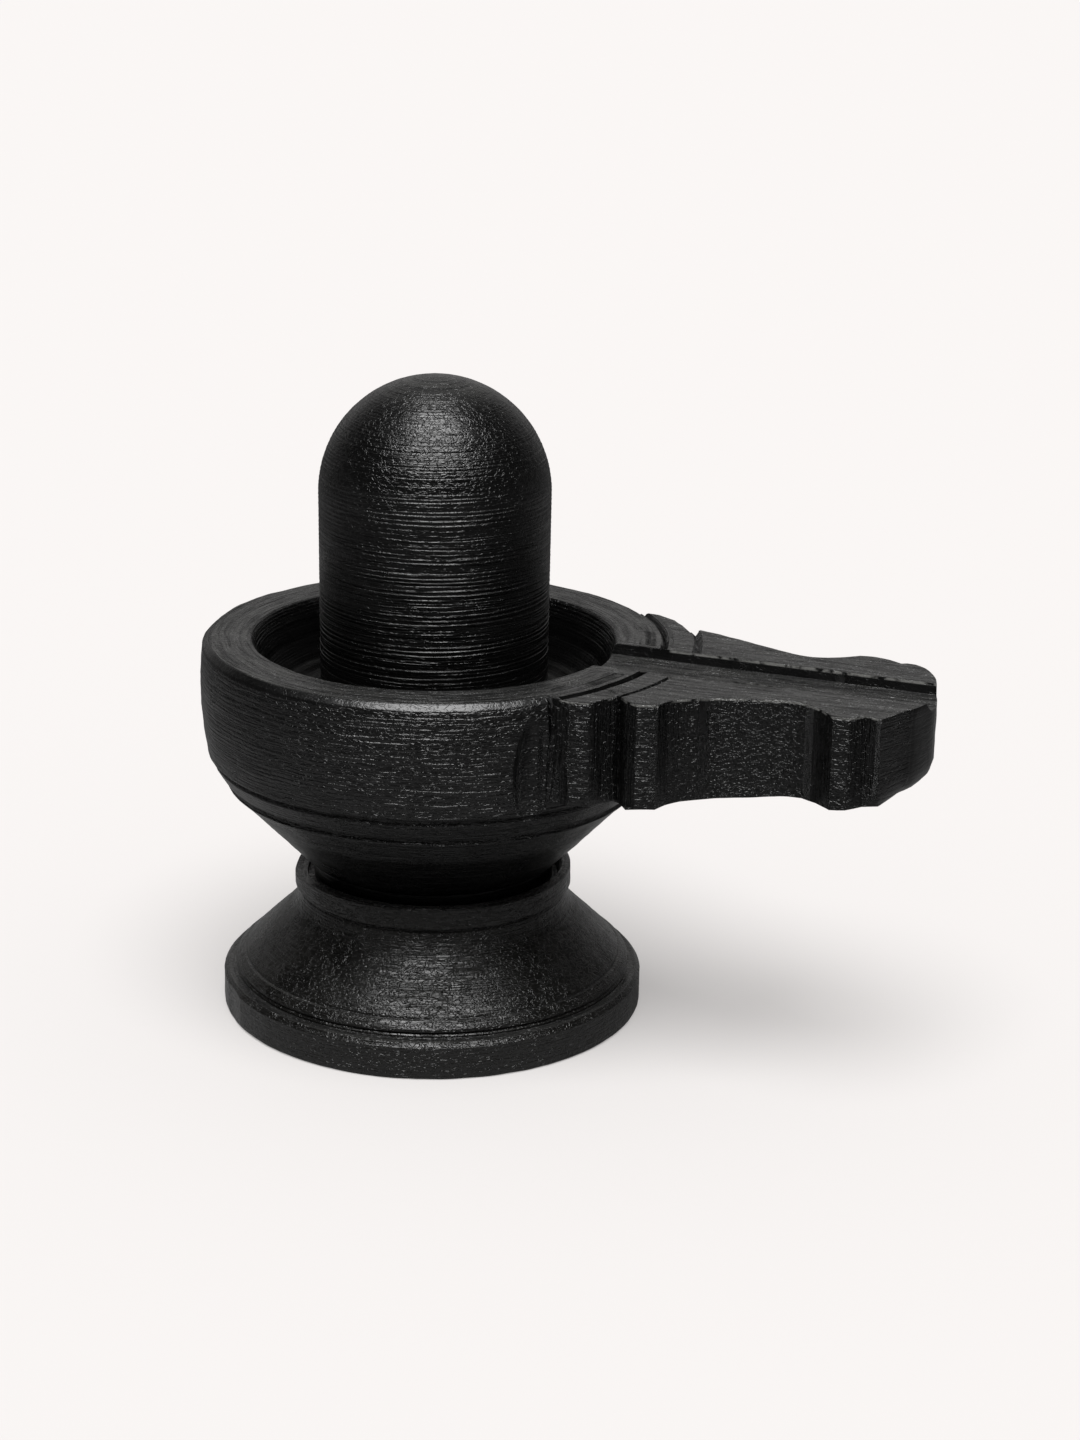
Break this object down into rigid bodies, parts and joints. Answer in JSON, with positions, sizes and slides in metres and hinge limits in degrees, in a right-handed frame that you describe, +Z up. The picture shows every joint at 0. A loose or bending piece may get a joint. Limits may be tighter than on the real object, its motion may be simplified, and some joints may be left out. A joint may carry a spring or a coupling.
{
  "type": "shivling",
  "caption": "Black stone lingam standing in a round spouted yoni basin on a turned pedestal, a small shrine idol that rests on its flat foot.",
  "frame": {"origin": "middle of the pedestal's flat underside, on the turning axis", "axes": "+Z up the lingam, +X along the spout to its tip, +Y to the left of the spout"},
  "size_m": [0.1618, 0.1016, 0.1412],
  "materials": {
    "lingam_stone": "oiled black stone with fine turning rings, semi-gloss",
    "basin_stone": "turned and chiselled black stone, satin, with worn lighter edges",
    "pedestal_stone": "turned black stone, satin, dustier and browner low down"
  },
  "bodies": {
    "root": {"lingam": "lingam_stone", "yoni_basin": "basin_stone", "pedestal": "pedestal_stone"}
  },
  "joints": []
}
